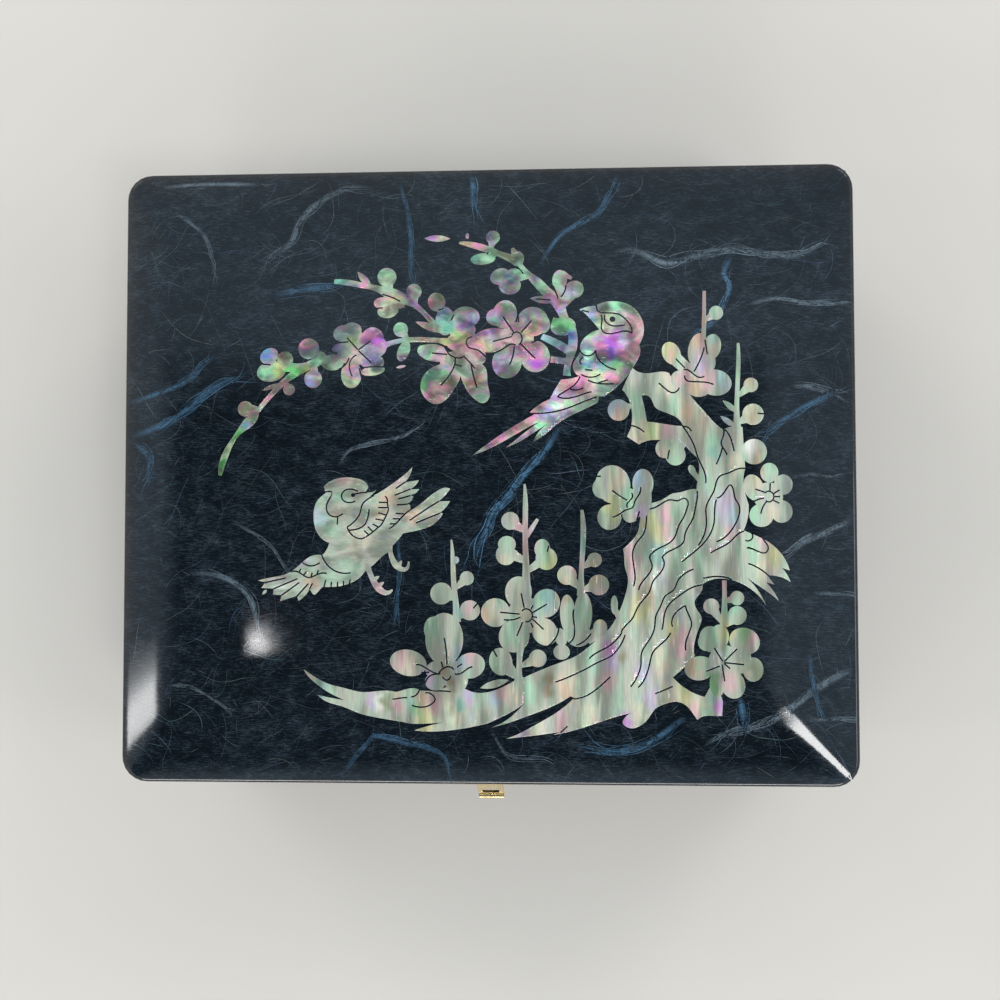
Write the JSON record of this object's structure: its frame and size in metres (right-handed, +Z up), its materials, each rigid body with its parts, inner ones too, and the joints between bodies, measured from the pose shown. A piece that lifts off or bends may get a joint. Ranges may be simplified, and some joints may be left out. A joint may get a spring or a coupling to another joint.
{
  "type": "mother-of-pearl lacquer box",
  "caption": "Rectangular lacquered keepsake box: crowned hinged lid with a cut mother-of-pearl picture, front clasp, mirror in the lid and velvet-lined compartments.",
  "frame": {"origin": "middle of the felt's underside, where the box stands", "axes": "+X to the right along the long side, +Y to the back where the hinges are, +Z up; the clasp faces -Y"},
  "size_m": [0.2, 0.1772, 0.0823],
  "materials": {
    "lacquer": "mulberry paper under clear gloss lacquer",
    "pearl_shell": "polished iridescent shell under lacquer",
    "board": "plain sanded board",
    "velvet": "short-pile velvet",
    "felt": "pressed felt",
    "mirror": "silvered glass",
    "card": "plain card",
    "gilt_brass": "polished, lightly tarnished",
    "fixings": "polished"
  },
  "bodies": {
    "box": {"back_lining": "velvet", "back_wall": "board", "base_felt": "felt", "base_panel": "board", "body_skin": "lacquer", "clasp_catch_plate": "gilt_brass", "clasp_nails_body": "fixings", "cross_divider": "velvet", "floor_lining": "velvet", "front_lining": "velvet", "front_wall": "board", "hinge_left_body_leaf": "gilt_brass", "hinge_left_pin": "fixings", "hinge_right_body_leaf": "gilt_brass", "hinge_right_pin": "fixings", "hinge_screws_body": "fixings", "left_lining": "velvet", "left_wall": "board", "long_divider": "velvet", "right_lining": "velvet", "right_wall": "board", "ring_bed": "velvet", "ring_roll_1": "velvet", "ring_roll_2": "velvet", "ring_roll_3": "velvet", "ring_roll_4": "velvet", "ring_roll_5": "velvet", "ring_roll_6": "velvet"},
    "lid": {"clasp_hinge_pin": "fixings", "clasp_lid_plate": "gilt_brass", "clasp_nails_lid": "fixings", "hinge_left_lid_leaf": "gilt_brass", "hinge_right_lid_leaf": "gilt_brass", "hinge_screws_lid": "fixings", "lid_back_rail": "board", "lid_front_rail": "board", "lid_left_rail": "board", "lid_lining": "velvet", "lid_right_rail": "board", "lid_skin": "lacquer", "lid_top_panel": "board", "mirror": "mirror", "mirror_backing": "card", "mirror_frame": "velvet", "shell_flying_bird": "pearl_shell", "shell_left_spray": "pearl_shell", "shell_lower_blossoms": "pearl_shell", "shell_perched_bird": "pearl_shell", "shell_plum_branches": "pearl_shell", "shell_plum_roots": "pearl_shell", "shell_plum_trunk": "pearl_shell", "shell_top_spray": "pearl_shell"},
    "clasp": {"clasp_tongue": "gilt_brass"}
  },
  "joints": [
    {"name": "lid_hinge", "type": "hinge", "parent": "box", "child": "lid", "pos_m": [0, 0.08, 0.0582], "axis": [-1, 0, 0], "range_deg": [0, 100]},
    {"name": "clasp_swing", "type": "hinge", "parent": "lid", "child": "clasp", "pos_m": [0, -0.0856, 0.063], "axis": [-1, 0, 0], "range_deg": [-25, 120]}
  ]
}
